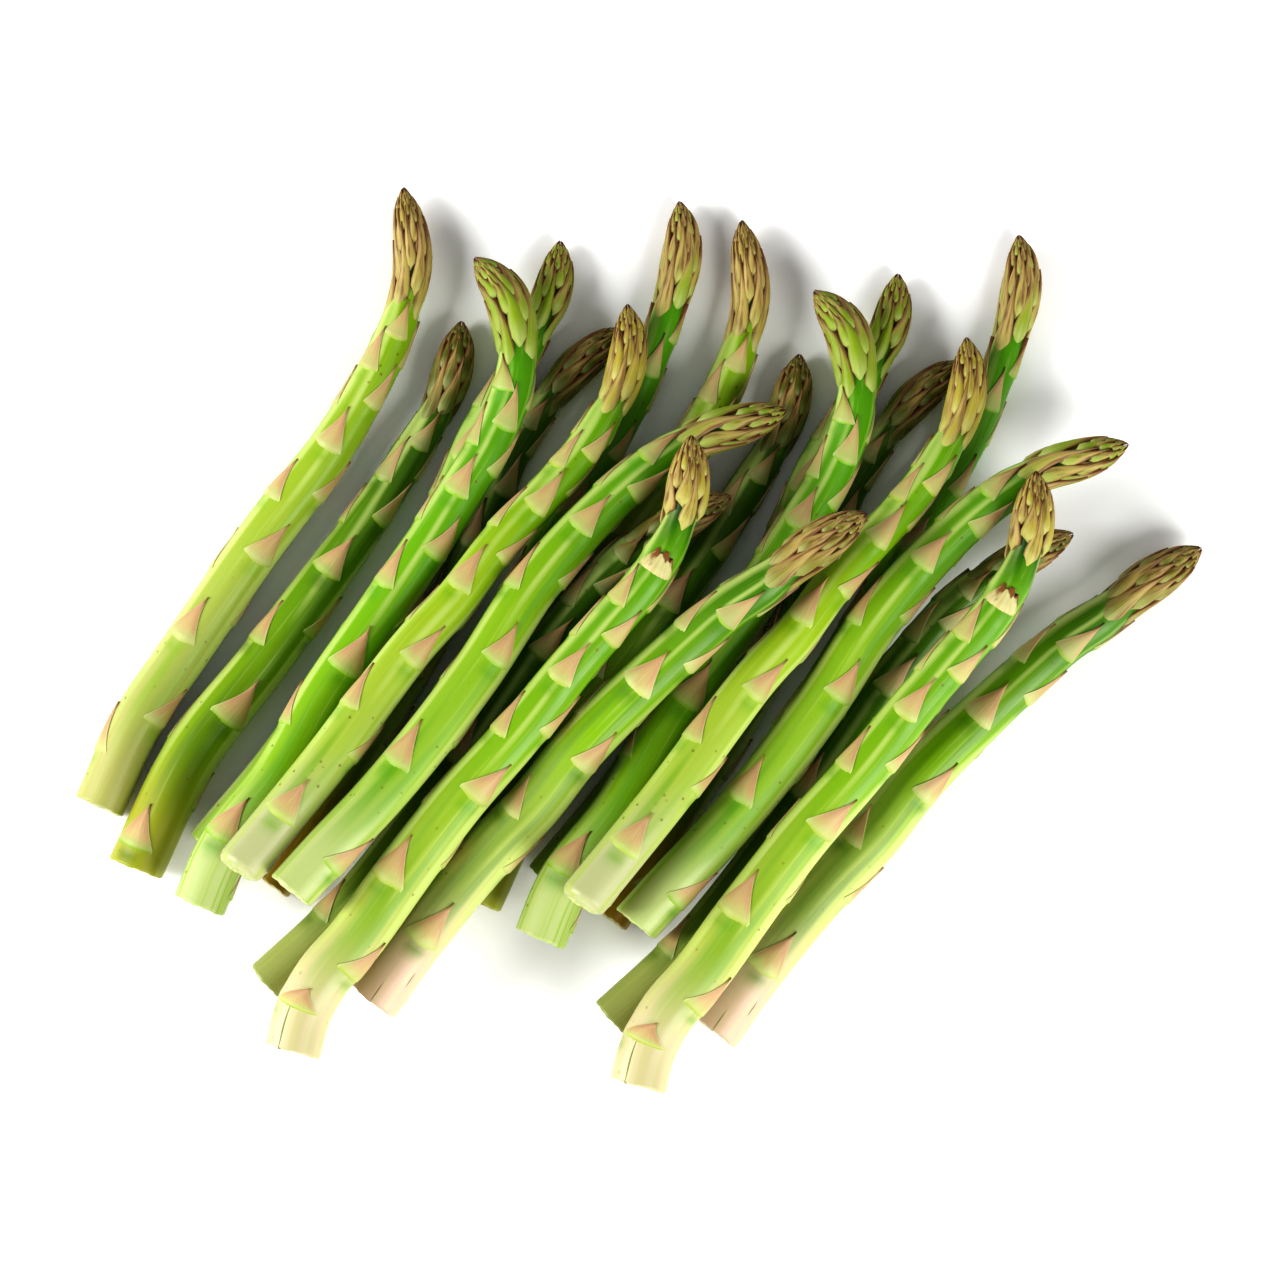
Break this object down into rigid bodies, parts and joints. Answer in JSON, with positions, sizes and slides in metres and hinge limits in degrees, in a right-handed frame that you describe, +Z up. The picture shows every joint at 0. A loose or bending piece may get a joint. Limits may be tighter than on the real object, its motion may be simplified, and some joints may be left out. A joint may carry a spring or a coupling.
{
  "type": "bundle of asparagus",
  "caption": "Loose pile of fresh green asparagus spears with cut butts, stem scales and tight pointed heads, lying flat as one bunch.",
  "frame": {"origin": "on the surface that the pile lies on, under the middle of its box", "axes": "+X to the right along the pile's longest side, +Y up the picture towards most of the heads, +Z straight up from the surface"},
  "size_m": [0.3146, 0.2516, 0.0515],
  "materials": {
    "fresh_green": "satin skin, fresh green with paler ridges and tan scales",
    "olive_green": "satin skin, olive green with tan scales and brown head",
    "yellow_green": "satin skin, yellow green with a pale butt",
    "pale_green": "satin skin, pale pinkish butt turning green",
    "dark_green": "satin skin, dark brownish green"
  },
  "bodies": {
    "root": {"spear_01": "olive_green", "spear_02": "olive_green", "spear_03": "fresh_green", "spear_04": "fresh_green", "spear_05": "dark_green", "spear_06": "yellow_green", "spear_07": "olive_green", "spear_08": "fresh_green", "spear_09": "dark_green", "spear_10": "yellow_green", "spear_11": "pale_green", "spear_12": "olive_green", "spear_13": "olive_green", "spear_14": "fresh_green", "spear_15": "fresh_green", "spear_16": "dark_green", "spear_17": "yellow_green", "spear_18": "olive_green", "spear_19": "fresh_green", "spear_20": "dark_green", "spear_21": "yellow_green", "spear_22": "pale_green"}
  },
  "joints": []
}
